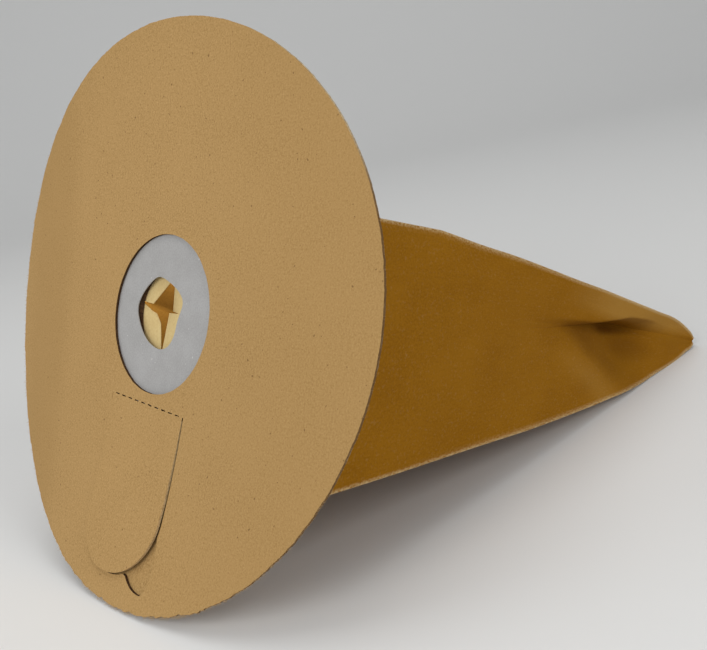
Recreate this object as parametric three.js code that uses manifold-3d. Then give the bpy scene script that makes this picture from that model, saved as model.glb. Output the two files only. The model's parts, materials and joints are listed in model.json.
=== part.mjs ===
// Paper dust bag on a round card disc, for a drum vacuum cleaner.
//
// The disc is two layers of kraft card glued together, with a thin rubber seal held
// between them. A square of cream paper with a crossed slit closes the mouth behind the
// seal, and a brown kraft paper bag with side gussets is glued to the back of the disc.
// The bag lies as it comes to rest: on the lowest point of the disc's rim and on the two
// corners of the bag's end seam.
//
// The disc is drawn upright first. There x runs from its front face into the bag, y across
// it and z up, with the origin in the middle of the front face. The whole drawing is then
// leaned back until rim and seam stand level. All sizes are in millimetres, and the angles
// in degrees.

import * as THREE from "three";
import { mergeVertices } from "three/addons/utils/BufferGeometryUtils.js";
import Module from "manifold-3d";

const wasm = await Module();
wasm.setup();

// Driving dimensions of the card disc.
const discDiameter = 290;
const cardThickness = 1.3;
const windowDiameter = 79;
const backHoleDiameter = 48;
const glueGap = 0.3;
const backCardShiftAcross = -0.9;
const backCardShiftUp = 0.3;
const discSegments = 72;
const curlRings = 5;

// The card has taken a saddle shape: top and bottom come forward, the sides go back.
const flatMiddleDiameter = 104;
const rimDish = 2.1;
const rimSaddle = 8.8;
const saddleTurn = 10;

// Driving dimensions of the rubber seal.
const sealDiameter = 94;
const sealThickness = 0.5;
const nozzleHoleDiameter = 35;
const sealPocketClearance = 2;

// Driving dimensions of the closing flap cut in the front card.
const flapTurn = 6;
const flapFoldDistance = 45.2;
const flapWidth = 61;
const flapRimMargin = 15.3;
const flapCornerRadius = 24.5;
const flapCutWidth = 0.8;
const flapLift = 1.6;
const perforationCount = 10;
const perforationLength = 3.2;
const perforationWidth = 0.7;
const perforationSpan = 58;

// The finger notch beside the flap's corner, measured from the flap's side and end.
const notchBesideFlap = 2.9;
const notchBelowFlap = 2.5;
const notchHeight = 28.2;
const notchWidth = 20.6;
const notchCornerRadius = 8;

// Driving dimensions of the cream mouth sheet.
const mouthSheetSide = 70;
const mouthSheetThickness = 0.4;
const slitCrossingAcross = 8;
const slitCrossingUp = 1;
const slitGap = 0.8;
const upperPetalFold = 24;
const lowerPetalFold = 23;
const rightSlitReach = 21.4;
const upperSlitReach = 21.4;
const upperSlitAngle = 73;
const leftSlitReach = 26;
const leftSlitAngle = 166;
const lowerSlitReach = 15.7;
const lowerSlitAngle = 269;

// Driving dimensions of the paper bag.
const bagWidth = 200;
const bagLength = 344;
const paperThickness = 0.6;
const bagHoleDiameter = 52;
const seamArch = 5.7;
const endFoldShare = 0.985;
const baseFollowLength = 60;

// Cross-sections of the bag from its square bottom, at 0, to its end seam, at 1. Each gives
// the height of the upper and lower corners, the height of the gusset's crease and how far
// the crease is folded in, and the same two for the lip that hangs over the crease.
const bagSections = [
  { at: 0, upper: 52.6, lower: -78.5, crease: -4, fold: -1, lip: 10, lipFold: -0.7 },
  { at: 0.25, upper: 52.6, lower: -61.8, crease: 4, fold: 0, lip: 16, lipFold: 0 },
  { at: 0.5, upper: 44, lower: -44.5, crease: 9.5, fold: 9, lip: 18, lipFold: 6.8 },
  { at: 0.6, upper: 39.7, lower: -36.8, crease: 12.3, fold: 16, lip: 17.5, lipFold: 10 },
  { at: 0.68, upper: 36.7, lower: -30.2, crease: 14.8, fold: 21, lip: 17.6, lipFold: 7 },
  { at: 0.74, upper: 34.1, lower: -24.8, crease: 16.6, fold: 23, lip: 20, lipFold: 3 },
  { at: 0.8, upper: 31.4, lower: -19, crease: 17, fold: 21, lip: 22.8, lipFold: 1.5 },
  { at: 0.86, upper: 28.8, lower: -11.4, crease: 15.8, fold: 12, lip: 23, lipFold: 1.2 },
  { at: 0.91, upper: 26.8, lower: -4.7, crease: 14.8, fold: 8, lip: 22.6, lipFold: 1 },
  { at: 0.945, upper: 24.2, lower: 0.3, crease: 14, fold: 5.5, lip: 19.6, lipFold: 0.8 },
  { at: 0.975, upper: 20.3, lower: 5.9, crease: 13.5, fold: 4, lip: 16.8, lipFold: 0.6 },
  { at: 1, upper: 15, lower: 11, crease: 13.1, fold: 1.5, lip: 14.2, lipFold: 0.4 },
];
const bagStations = [
  0, 0.08, 0.16, 0.25, 0.36, 0.5, 0.6, 0.68, 0.74, 0.77, 0.8, 0.83, 0.86, 0.91, 0.945, 0.975, 1,
];
const bottomRings = 4;
const panelSteps = 10;
const gussetSteps = 4;

// Sizes that follow from the driving dimensions.
const discRadius = discDiameter / 2;
const flatRadius = flatMiddleDiameter / 2;
const backCardFront = cardThickness + glueGap;
const backCardBack = backCardFront + cardThickness;
const sealFront = cardThickness + glueGap;
const sealPocketDepth = sealThickness + glueGap;
const mouthSheetFront = backCardBack + glueGap;
const bagFront = mouthSheetFront + mouthSheetThickness + glueGap;
const through = 4 * cardThickness;
const leanSteps = 30;
const { degToRad } = THREE.MathUtils;

// How far a point of the disc is bent forward out of its flat drawing.
function curl(y, z) {
  const reach = Math.max(0, (Math.hypot(y, z) - flatRadius) / (discRadius - flatRadius));
  const angle = Math.atan2(y, z) - degToRad(saddleTurn);
  return reach * reach * (rimDish + rimSaddle * Math.cos(2 * angle));
}

// Moves every vertex of a geometry by a rule.
function moveVertices(geometry, rule) {
  const position = geometry.getAttribute("position");
  const point = new THREE.Vector3();
  for (let i = 0; i < position.count; i++) {
    point.fromBufferAttribute(position, i);
    rule(point);
    position.setXYZ(i, point.x, point.y, point.z);
  }
  return geometry;
}

const curlWithCard = (geometry) => moveVertices(geometry, (p) => (p.x -= curl(p.y, p.z)));

// Joining and cutting of closed meshes.
function toSolid(geometry) {
  const bare = geometry.index ? geometry.toNonIndexed() : geometry.clone();
  bare.deleteAttribute("normal");
  bare.deleteAttribute("uv");
  const merged = mergeVertices(bare, 1e-3);
  return new wasm.Manifold(
    new wasm.Mesh({
      numProp: 3,
      vertProperties: merged.getAttribute("position").array,
      triVerts: new Uint32Array(merged.index.array),
    }),
  );
}

function toGeometry(solid) {
  const mesh = solid.getMesh();
  const geometry = new THREE.BufferGeometry();
  geometry.setAttribute("position", new THREE.BufferAttribute(mesh.vertProperties, 3));
  geometry.setIndex(new THREE.BufferAttribute(mesh.triVerts, 1));
  geometry.computeVertexNormals();
  return geometry;
}

// Turns a drawing in the xy plane, extruded along z, so that it faces along x: the
// drawing's x becomes y and its y becomes z.
function faceAlongX(geometry) {
  const axes = [new THREE.Vector3(0, 1, 0), new THREE.Vector3(0, 0, 1), new THREE.Vector3(1, 0, 0)];
  return geometry.applyMatrix4(new THREE.Matrix4().makeBasis(...axes));
}

// A flat plate of any outline, from x to x + thickness.
function plate(shape, x, thickness, curveSegments = 12) {
  const options = { depth: thickness, bevelEnabled: false, curveSegments };
  return faceAlongX(new THREE.ExtrudeGeometry(shape, options)).translate(x, 0, 0);
}

// A ring round the x axis, from a closed profile of radius and x.
function ring(profile) {
  const points = [...profile, profile[0]].map(([radius, x]) => new THREE.Vector2(radius, x));
  return new THREE.LatheGeometry(points, discSegments).rotateZ(-Math.PI / 2);
}

// The radii at which the card is divided so that it can curl.
const curlRadii = Array.from(
  { length: curlRings + 1 },
  (_, i) => flatRadius + ((discRadius - flatRadius) * i) / curlRings,
);

function cardRing(front, inside) {
  const back = front + cardThickness;
  const outwards = curlRadii.map((radius) => [radius, front]);
  const inwards = curlRadii.map((radius) => [radius, back]).reverse();
  return ring([...inside, ...outwards, ...inwards, [inside[0][0], back]]);
}

// The closing flap and the cuts round it are drawn with the flap hanging straight down, and
// then turned with the card.
const turnFlap = (geometry) => geometry.rotateX(degToRad(flapTurn));
const flapEnd = flapRimMargin - discRadius;

function flapOutline(margin, top) {
  const half = flapWidth / 2 + margin;
  const radius = flapCornerRadius + margin;
  const end = flapEnd - margin;
  const shape = new THREE.Shape();
  shape.moveTo(-half, top);
  shape.lineTo(-half, end + radius);
  shape.absarc(-half + radius, end + radius, radius, Math.PI, 1.5 * Math.PI, false);
  shape.absarc(half - radius, end + radius, radius, 1.5 * Math.PI, 2 * Math.PI, false);
  shape.lineTo(half, top);
  shape.closePath();
  return shape;
}

// The finger notch lies on the side that the viewer sees at the right, which is -y.
function notchOutline() {
  const corner = notchCornerRadius;
  const side = -flapWidth / 2 - notchBesideFlap;
  const bottom = flapEnd - notchBelowFlap;
  const top = bottom + notchHeight;
  const start = side + notchWidth;
  const shape = new THREE.Shape();
  shape.moveTo(-flapWidth / 2 + flapCornerRadius, flapEnd + flapCornerRadius);
  shape.lineTo(start, flapEnd + flapCutWidth);
  shape.quadraticCurveTo(start - corner, bottom, side + corner, bottom);
  shape.quadraticCurveTo(side, bottom, side, bottom + corner);
  shape.quadraticCurveTo(side - flapCutWidth, top - corner, -flapWidth / 2, top);
  shape.closePath();
  return shape;
}

// The holes of the tear-off line on which the flap folds.
function perforations() {
  const pitch = perforationSpan / perforationCount;
  const cuts = [];
  for (let i = 0; i < perforationCount; i++) {
    const y = (i + 0.5) * pitch - perforationSpan / 2;
    const cut = new THREE.BoxGeometry(2 * through, perforationLength, perforationWidth);
    cuts.push(toSolid(turnFlap(cut.translate(0, y, -flapFoldDistance))));
  }
  return cuts;
}

// Leans the flap out of the card about its fold line.
function liftFlap(geometry) {
  const undo = -degToRad(flapTurn);
  geometry.rotateX(undo).translate(0, 0, flapFoldDistance);
  geometry.rotateY(degToRad(flapLift)).translate(0, 0, -flapFoldDistance);
  return turnFlap(geometry);
}

function frontCard() {
  const card = toSolid(curlWithCard(cardRing(0, [[windowDiameter / 2, 0]])));
  const cutter = (shape, curveSegments) =>
    toSolid(turnFlap(plate(shape, -2 * discRadius, 4 * discRadius, curveSegments)));
  const hingeOverlap = flapCutWidth / 2;
  const opening = cutter(flapOutline(flapCutWidth, -flapFoldDistance));
  const flap = card.intersect(cutter(flapOutline(0, -flapFoldDistance + hingeOverlap)));
  const lifted = toSolid(liftFlap(toGeometry(flap)));
  let solid = card.subtract(opening).subtract(cutter(notchOutline(), 6)).add(lifted);
  for (const hole of perforations()) {
    solid = solid.subtract(hole);
  }
  return toGeometry(solid);
}

function backCard() {
  const pocketRadius = sealDiameter / 2 + sealPocketClearance;
  const pocketFloor = backCardFront + sealPocketDepth;
  const inside = [
    [backHoleDiameter / 2, pocketFloor],
    [pocketRadius, pocketFloor],
    [pocketRadius, backCardFront],
  ];
  return curlWithCard(cardRing(backCardFront, inside));
}

function rubberSeal() {
  const sealBack = sealFront + sealThickness;
  return ring([
    [nozzleHoleDiameter / 2, sealFront],
    [sealDiameter / 2, sealFront],
    [sealDiameter / 2, sealBack],
    [nozzleHoleDiameter / 2, sealBack],
  ]);
}

// The crossed slit of the mouth sheet. Its arms cross beside the middle, and their ends are
// given from the middle: how far, and at what angle from the right-hand arm, over the top.
const crossing = new THREE.Vector2(slitCrossingAcross, slitCrossingUp);
const slitEnd = (reach, angle) =>
  new THREE.Vector2(-reach * Math.cos(degToRad(angle)), reach * Math.sin(degToRad(angle)));
const slitEnds = {
  right: slitEnd(rightSlitReach, 0),
  upper: slitEnd(upperSlitReach, upperSlitAngle),
  left: slitEnd(leftSlitReach, leftSlitAngle),
  lower: slitEnd(lowerSlitReach, lowerSlitAngle),
};

// One petal is the triangle between two arms of the slit, folded in about their ends.
function petal(from, to, fold) {
  const hinge = new THREE.Vector2().subVectors(to, from).normalize();
  const outward = new THREE.Vector2(hinge.y, -hinge.x).multiplyScalar(mouthSheetThickness);
  const shape = new THREE.Shape([
    from.clone().add(outward),
    to.clone().add(outward),
    to,
    crossing,
    from,
  ]);
  const geometry = plate(shape, mouthSheetFront, mouthSheetThickness);
  const axis = new THREE.Vector3(0, hinge.x, hinge.y);
  const anchor = new THREE.Vector3(mouthSheetFront, from.x, from.y);
  const turn = new THREE.Matrix4().makeRotationAxis(axis, degToRad(fold));
  geometry.translate(-anchor.x, -anchor.y, -anchor.z);
  return toSolid(geometry.applyMatrix4(turn).translate(anchor.x, anchor.y, anchor.z));
}

// The narrow gap that an arm of the slit leaves between two petals.
function slit(end) {
  const along = new THREE.Vector2().subVectors(end, crossing);
  const side = new THREE.Vector2(-along.y, along.x).normalize().multiplyScalar(slitGap);
  return new THREE.Shape([end, crossing.clone().add(side), crossing.clone().sub(side)]);
}

function mouthSheet() {
  const half = mouthSheetSide / 2;
  const square = new THREE.Shape([
    new THREE.Vector2(-half, -half),
    new THREE.Vector2(half, -half),
    new THREE.Vector2(half, half),
    new THREE.Vector2(-half, half),
  ]);
  const { right, upper, left, lower } = slitEnds;
  const opened = new THREE.Shape([lower, right, upper, crossing]);
  const cut = (shape) => toSolid(plate(shape, mouthSheetFront - through, 2 * through));
  const sheet = toSolid(plate(square, mouthSheetFront, mouthSheetThickness));
  return toGeometry(
    sheet
      .subtract(cut(opened))
      .subtract(cut(slit(left)))
      .add(petal(upper, right, upperPetalFold))
      .add(petal(right, lower, lowerPetalFold)),
  );
}

// Smooth curves through the bag's cross-sections.
const sectionKeys = ["upper", "lower", "crease", "fold", "lip", "lipFold"];
const sectionCurve = new THREE.CubicInterpolant(
  bagSections.map((section) => section.at),
  bagSections.flatMap((section) => sectionKeys.map((key) => section[key])),
  sectionKeys.length,
);

// The eight corners of a cross-section, from the upper panel's end at -y: the lip and the
// crease of that side's gusset, both ends of the lower panel, and the same at +y.
function sectionCorners(at) {
  const [upper, lower, crease, fold, lip, lipFold] = sectionCurve.evaluate(at);
  const half = bagWidth / 2;
  return [
    new THREE.Vector2(-half, upper),
    new THREE.Vector2(-half + lipFold, lip),
    new THREE.Vector2(-half + fold, crease),
    new THREE.Vector2(-half, lower),
    new THREE.Vector2(half, lower),
    new THREE.Vector2(half - fold, crease),
    new THREE.Vector2(half - lipFold, lip),
    new THREE.Vector2(half, upper),
  ];
}

// Moves each side of a counter-clockwise outline inwards, and finds the new corners.
function insetOutline(corners, distance) {
  const inward = corners.map((from, i) => {
    const along = corners[(i + 1) % corners.length].clone().sub(from).normalize();
    return new THREE.Vector2(-along.y, along.x);
  });
  return corners.map((corner, i) => {
    const before = inward[(i + corners.length - 1) % corners.length];
    const after = inward[i];
    const move = before.clone().add(after).multiplyScalar(distance / (1 + before.dot(after)));
    return corner.clone().add(move);
  });
}

// One closed loop of points of the bag's wall. The panels arch towards the seam.
function sectionLoop(at, inset) {
  const corners = insetOutline(sectionCorners(at), inset);
  const x = bagFront + inset * (at === 0 ? 1 : 0) + bagLength * at;
  const arch = seamArch * at * at * at;
  const sideSteps = [gussetSteps, gussetSteps, gussetSteps];
  const counts = [...sideSteps, panelSteps, ...sideSteps, panelSteps];
  const loop = [];
  corners.forEach((corner, i) => {
    const next = corners[(i + 1) % corners.length];
    for (let k = 0; k < counts[i]; k++) {
      const p = corner.clone().lerp(next, k / counts[i]);
      const rise = arch * (1 - Math.abs(p.x) / (bagWidth / 2)) * 2;
      const follow = Math.max(0, 1 - (x - bagFront) / baseFollowLength);
      const depth = x - follow * follow * curl(p.x, p.y);
      loop.push(new THREE.Vector3(depth, p.x, p.y + Math.min(arch, rise)));
    }
  });
  return loop;
}

// The loops of the square bottom, from its round hole out to its edge.
function bottomLoops(inset) {
  const edge = sectionLoop(0, inset);
  const loops = [];
  for (let i = 0; i < bottomRings; i++) {
    const share = i / bottomRings;
    loops.push(
      edge.map((corner) => {
        const angle = Math.atan2(corner.z, corner.y);
        const radius = THREE.MathUtils.lerp(bagHoleDiameter / 2, Math.hypot(corner.y, corner.z), share);
        const y = radius * Math.cos(angle);
        const z = radius * Math.sin(angle);
        return new THREE.Vector3(bagFront + inset - curl(y, z), y, z);
      }),
    );
  }
  return loops;
}

// Joins the loops of the outside and of the inside into one closed skin, round the edge of
// the bag's hole. The last loop of each is closed with faces across the bag.
function paperBag() {
  const outside = [...bottomLoops(0), ...bagStations.map((at) => sectionLoop(at, 0))];
  const inside = [
    ...bottomLoops(paperThickness),
    ...bagStations.map((at) => sectionLoop(Math.min(at, endFoldShare), paperThickness)),
  ];
  const loops = [...outside].reverse().concat(inside);
  const size = loops[0].length;
  const points = loops.flat();
  const faces = [];
  loops.slice(1).forEach((_, row) => {
    for (let i = 0; i < size; i++) {
      const a = row * size + i;
      const b = row * size + ((i + 1) % size);
      faces.push([a, b + size, b], [a, a + size, b + size]);
    }
  });
  const outline = (first) =>
    THREE.ShapeUtils.triangulateShape(
      points.slice(first, first + size).map((p) => new THREE.Vector2(p.y, p.z)),
      [],
    ).map((face) => face.map((i) => first + i));
  faces.push(...outline(0));
  faces.push(...outline(points.length - size).map(([a, b, c]) => [a, c, b]));
  const geometry = new THREE.BufferGeometry().setFromPoints(points);
  geometry.setIndex(faces.flat());
  geometry.computeVertexNormals();
  return geometry;
}

// Materials.
const cardMaterial = new THREE.MeshStandardMaterial({ color: 0xb59262, roughness: 0.9, metalness: 0 });
const rubberMaterial = new THREE.MeshStandardMaterial({ color: 0xa0a0a5, roughness: 0.6, metalness: 0 });
const creamMaterial = new THREE.MeshStandardMaterial({ color: 0xcdb47d, roughness: 0.9, metalness: 0 });
const kraftMaterial = new THREE.MeshStandardMaterial({ color: 0x9a7426, roughness: 0.85, metalness: 0 });

function part(name, geometry, material) {
  const mesh = new THREE.Mesh(geometry, material);
  mesh.name = name;
  return mesh;
}

const frontCardMesh = part("front_card", frontCard(), cardMaterial);
const backCardMesh = part("back_card", backCard(), cardMaterial);
backCardMesh.position.set(0, backCardShiftAcross, backCardShiftUp);
const paperBagMesh = part("paper_bag", paperBag(), kraftMaterial);

// The upright drawing, with every piece in its place.
const upright = new THREE.Group();
upright.add(
  frontCardMesh,
  part("rubber_seal", rubberSeal(), rubberMaterial),
  backCardMesh,
  part("mouth_sheet", mouthSheet(), creamMaterial),
  paperBagMesh,
);

// How low a piece reaches once the drawing is leaned back by an angle.
function lowestPoint(mesh, lean) {
  const position = mesh.geometry.getAttribute("position");
  let lowest = Infinity;
  for (let i = 0; i < position.count; i++) {
    const x = position.getX(i) + mesh.position.x;
    const z = position.getZ(i) + mesh.position.z;
    lowest = Math.min(lowest, z * Math.cos(lean) - x * Math.sin(lean));
  }
  return lowest;
}

// The lean at which the disc's rim and the bag's end reach equally low, by halving a range.
function levelLean(rimMeshes, bagMesh) {
  let least = 0;
  let most = Math.PI / 4;
  for (let i = 0; i < leanSteps; i++) {
    const lean = (least + most) / 2;
    const rim = Math.min(...rimMeshes.map((mesh) => lowestPoint(mesh, lean)));
    if (rim < lowestPoint(bagMesh, lean)) {
      least = lean;
    } else {
      most = lean;
    }
  }
  return least;
}

upright.rotation.y = levelLean([frontCardMesh, backCardMesh], paperBagMesh);

// The origin is under the middle of the part, on the surface that it lies on.
const bounds = new THREE.Box3().setFromObject(upright, true);
const middle = bounds.getCenter(new THREE.Vector3());
upright.position.set(-middle.x, -middle.y, -bounds.min.z);

const dustBag = new THREE.Group();
dustBag.add(upright);

export default dustBag;
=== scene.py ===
# %% [markdown]
# # A paper dust bag
#
# This lesson dresses a plain CAD model of a vacuum cleaner's dust bag. The CAD model gives
# the sizes; here each piece is made again with the detail that a photograph shows: fibres
# in the card, cut edges, puckers in the paper and a crossed slit in the mouth.
#
# Every piece is drawn upright first, in millimetres: x runs from the disc into the bag,
# y across the disc and z up it. One matrix then leans the drawing into its resting place.

import json
import math

import bpy
import numpy as np
from mathutils import Matrix, Vector
from mathutils.geometry import delaunay_2d_cdt


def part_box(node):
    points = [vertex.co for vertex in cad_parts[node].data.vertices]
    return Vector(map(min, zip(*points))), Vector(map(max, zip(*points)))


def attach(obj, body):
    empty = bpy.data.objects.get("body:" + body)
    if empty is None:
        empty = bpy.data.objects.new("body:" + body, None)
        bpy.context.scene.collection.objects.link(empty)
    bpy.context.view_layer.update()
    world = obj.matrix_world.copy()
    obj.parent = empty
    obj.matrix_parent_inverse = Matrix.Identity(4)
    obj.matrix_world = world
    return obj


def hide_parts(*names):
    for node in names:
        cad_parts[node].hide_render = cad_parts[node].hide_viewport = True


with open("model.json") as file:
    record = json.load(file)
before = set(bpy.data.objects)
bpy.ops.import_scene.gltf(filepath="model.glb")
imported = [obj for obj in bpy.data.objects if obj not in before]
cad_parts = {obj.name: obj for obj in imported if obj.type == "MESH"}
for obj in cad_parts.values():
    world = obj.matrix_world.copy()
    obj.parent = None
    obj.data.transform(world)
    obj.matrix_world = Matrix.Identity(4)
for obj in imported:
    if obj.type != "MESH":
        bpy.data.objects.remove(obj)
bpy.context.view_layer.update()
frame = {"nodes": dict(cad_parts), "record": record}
print("CAD pieces:", sorted(frame["nodes"]))

# %% [markdown]
# ## From the drawing to its place
#
# The bag lies on the floor, so its disc leans back. Drawing it that way would make every
# size a sum of two directions, so it is drawn upright and placed at the end. The record of
# the part holds a mount on the disc's face: its axis tells how far the disc leans back, and
# the middle of the seal tells where the disc is.

# %% The drawing's place
# A millimetre in metres.
MM = 0.001
# The thickness of a card, and of the glue between two layers.
CARD, GLUE = 1.3, 0.3
SEAL_FRONT = CARD + GLUE
SEAL_THICKNESS = 0.5
mounts = {mount["name"]: mount for mount in frame["record"]["mounts"]}
axis = mounts["card_face"]["axis"]
LEAN = math.atan2(axis[2], -axis[0])
turn = Matrix.Rotation(LEAN, 4, "Y") @ Matrix.Scale(MM, 4)
seal_low, seal_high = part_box("rubber_seal")
seal_middle = turn @ Vector((SEAL_FRONT + SEAL_THICKNESS / 2, 0, 0))
PLACE = Matrix.Translation((seal_low + seal_high) / 2 - seal_middle) @ turn
print("The disc leans back by", round(math.degrees(LEAN), 2), "degrees")

# %% [markdown]
# ## The warped card
#
# The disc is two blanks of kraft card, and they have warped together: the card is flat round
# the middle, while its rim comes forward at the top and bottom and goes back at the sides,
# like a saddle. A lattice or a few pulled points could bend it. One formula is better here,
# because the cards, the fibres on their rims and the bag's bottom all have to bend alike.

# %% The warped card
DISC_RADIUS = 145
FLAT_RADIUS = 52
# At the rim: how far it is dished forward, how far the saddle bends it either way, and the
# saddle's turn in degrees.
RIM_DISH, RIM_SADDLE, SADDLE_TURN = 2.1, 8.8, 10


def curl(y, z):
    """How far the card is bent forward at a place on the disc."""
    reach = np.maximum(0, (np.hypot(y, z) - FLAT_RADIUS) / (DISC_RADIUS - FLAT_RADIUS))
    angle = np.arctan2(y, z) - math.radians(SADDLE_TURN)
    return reach**2 * (RIM_DISH + RIM_SADDLE * np.cos(2 * angle))


print("The disc's top is bent forward by", round(float(curl(0, DISC_RADIUS)), 1), "mm")

# %% [markdown]
# ## Outlines
#
# A piece of card starts as an outline: a list of points in its own plane. The knife that
# cuts it is never quite sharp, so the points are pushed in and out a little along the
# outline's normal. A bump in the material would leave the silhouette smooth.

# %% Outlines
rng = np.random.default_rng(7)


def circle(radius, step=1.0):
    count = int(2 * math.pi * radius / step)
    angle = np.linspace(0, 2 * math.pi, count, endpoint=False)
    return radius * np.c_[np.cos(angle), np.sin(angle)]


def dense(corners, step=1.0):
    """The same outline with points no further apart than a step."""
    corners = np.asarray(corners, float)
    rows = []
    for a, b in zip(corners, np.roll(corners, -1, axis=0)):
        count = max(1, math.ceil(np.hypot(*(b - a)) / step))
        rows.append(a + (b - a) * np.arange(count)[:, None] / count)
    return np.concatenate(rows)


def rough(outline, height, step=3):
    """Roughens an outline, as a blunt knife leaves it. The height may differ from point to point."""
    out = np.roll(outline, -1, axis=0) - np.roll(outline, 1, axis=0)
    normal = np.c_[out[:, 1], -out[:, 0]] / np.maximum(1e-6, np.hypot(*out.T))[:, None]
    noise = rng.normal(0, 1, len(outline))
    noise = sum(np.roll(noise, i) for i in range(step)) / math.sqrt(step)
    return outline + normal * (noise * height)[:, None]


print("A circle of the disc's size has", len(circle(DISC_RADIUS)), "points")

# %% [markdown]
# ## The disc's rim
#
# The rim is more frayed where the disc has been knocked, at the left and at the bottom. The
# blank isn't quite round, and the one behind is a few millimetres smaller, so that only the
# front card's edge shows.

# %% The disc's rim
RIM_STEP = 0.7
# How much a blank is short at its top and bottom, and how much smaller the back card is.
OUT_OF_ROUND = 1.3
BACK_TRIM = 3.1


def torn_rim():
    """The disc's rim, more frayed at the left and at the bottom."""
    rim = circle(DISC_RADIUS, RIM_STEP)
    left = np.clip(rim[:, 0] / DISC_RADIUS, 0, 1)
    bottom = np.clip(-rim[:, 1] / DISC_RADIUS, 0, 1)
    torn = np.maximum(left, bottom) ** 2
    return rough(rough(rim, 0.05 + 0.22 * torn, 9), 0.06 + 0.1 * torn)


def trim(rim, less):
    """Cuts a rim back at the top and bottom, and by more when the blank is the smaller one."""
    height = rim[:, 1] / DISC_RADIUS
    cut = OUT_OF_ROUND * height**8 + less * (1 + np.clip(-height, 0, 0.4))
    return rim * (1 - cut / DISC_RADIUS)[:, None]


print("The back card's rim is cut back by", BACK_TRIM, "to", round(1.4 * BACK_TRIM + OUT_OF_ROUND, 1), "mm")

# %% [markdown]
# ## Sheets with thickness
#
# Card, rubber and cream paper are all cut from flat sheet. A constrained triangulation fills
# an outline and leaves its holes open, which a grid with boolean cuts would do less cleanly.
# The triangles are laid down twice, as front and back, and walls join them along each cut.
# That gives a closed plate whose cut edges can be seen.

# %% Sheets with thickness
def inside(points, outline):
    """Which points lie in a closed outline."""
    x, y = points[:, 0], points[:, 1]
    found = np.zeros(len(points), bool)
    for (ax, ay), (bx, by) in zip(outline, np.roll(outline, -1, axis=0)):
        if ay != by:
            crosses = (ay > y) != (by > y)
            found ^= crosses & (x < (bx - ax) * (y - ay) / (by - ay) + ax)
    return found


def flat_sheet(outline, holes=(), guides=(), grid=5.0):
    """Triangles that fill an outline and leave its holes open."""
    low, high = outline.min(axis=0), outline.max(axis=0)
    across = np.arange(low[0], high[0], grid)
    up = np.arange(low[1], high[1], grid * 0.866)
    rows = [np.c_[across + (i % 2) * grid / 2, np.full(len(across), v)] for i, v in enumerate(up)]
    loose = np.concatenate(rows)
    for loop in (outline, *holes, *guides):
        near = np.hypot(*(loose[:, None] - loop[None, ::2]).transpose(2, 0, 1)).min(axis=1)
        loose = loose[near > grid * 0.4]
    points = [*loose]
    edges = []
    for loop in (outline, *holes, *guides):
        first = len(points)
        points.extend(loop)
        edges.extend((first + i, first + (i + 1) % len(loop)) for i in range(len(loop)))
    made = delaunay_2d_cdt([Vector(p) for p in points], edges, [], 0, 1e-5, False)
    flat = np.array([tuple(p) for p in made[0]])
    faces = np.array([tuple(face) for face in made[2]])
    middle = flat[faces].mean(axis=1)
    keep = inside(middle, outline)
    for hole in holes:
        keep &= ~inside(middle, hole)
    faces = faces[keep]
    used, faces = np.unique(faces, return_inverse=True)
    return flat[used], faces.reshape(-1, 3)


def thicken(flat, faces, front, back):
    """A closed plate: the sheet at x = front, again at x = back, and walls round the rims."""
    count = len(flat)
    points = np.concatenate([np.c_[front, flat], np.c_[back, flat]])
    a, b, c = flat[faces[:, 0]], flat[faces[:, 1]], flat[faces[:, 2]]
    area = (b[:, 0] - a[:, 0]) * (c[:, 1] - a[:, 1]) - (b[:, 1] - a[:, 1]) * (c[:, 0] - a[:, 0])
    faces = np.where(area[:, None] > 0, faces[:, ::-1], faces)
    edges = np.concatenate([faces[:, [0, 1]], faces[:, [1, 2]], faces[:, [2, 0]]])
    seen = {(i, j) for i, j in edges.tolist()}
    rim = np.array([(i, j) for i, j in edges.tolist() if (j, i) not in seen])
    walls = np.c_[rim[:, 1], rim[:, 0], rim[:, 0] + count, rim[:, 1] + count]
    return points, [*faces.tolist(), *(faces[:, ::-1] + count).tolist(), *walls.tolist()]


print("A flat ring takes", len(flat_sheet(circle(10), [circle(4)])[1]), "triangles")

# %% [markdown]
# ## From a mesh to a piece
#
# A mesh becomes a piece of the bag when it has its place and its material. The sheet
# attribute keeps each point's place on the flat sheet, in millimetres. Patterns read it, so
# that they bend with the paper instead of sliding over it.

# %% From a mesh to a piece
def bake(piece):
    """Makes a piece's modifiers part of its mesh."""
    depsgraph = bpy.context.evaluated_depsgraph_get()
    mesh = bpy.data.meshes.new_from_object(piece.evaluated_get(depsgraph))
    piece.modifiers.clear()
    piece.data = mesh


def add_piece(name, points, faces, sheet, material, slot, node, sharp=35, marks=None, shape=None):
    """Puts a mesh in the scene, with an attribute for each mark on its surface."""
    mesh = bpy.data.meshes.new(name)
    mesh.from_pydata(np.asarray(points, float).tolist(), [], [tuple(face) for face in faces])
    mesh.attributes.new("sheet", "FLOAT_VECTOR", "POINT")
    mesh.attributes["sheet"].data.foreach_set("vector", np.asarray(sheet, np.float32).ravel())
    for key, values in (marks or {}).items():
        mesh.attributes.new(key, "FLOAT", "POINT")
        mesh.attributes[key].data.foreach_set("value", np.asarray(values, np.float32))
    mesh.transform(PLACE)
    piece = bpy.data.objects.new(name, mesh)
    bpy.context.scene.collection.objects.link(piece)
    mesh.materials.append(material)
    if shape:
        shape(piece)
        bake(piece)
    piece.data.shade_smooth()
    piece.data.set_sharp_from_angle(angle=math.radians(sharp))
    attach(piece, "root")
    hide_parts(node)
    print(name, "has", len(piece.data.polygons), "faces")
    return piece


# %% [markdown]
# ## Node trees as arithmetic
#
# A material is a sum of patterns. Placing its nodes by hand takes many lines, so the Value
# class lets a tree be written like a sum: the signs +, - and * each add a maths node, and
# Tree.node adds any other kind of node.

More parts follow.
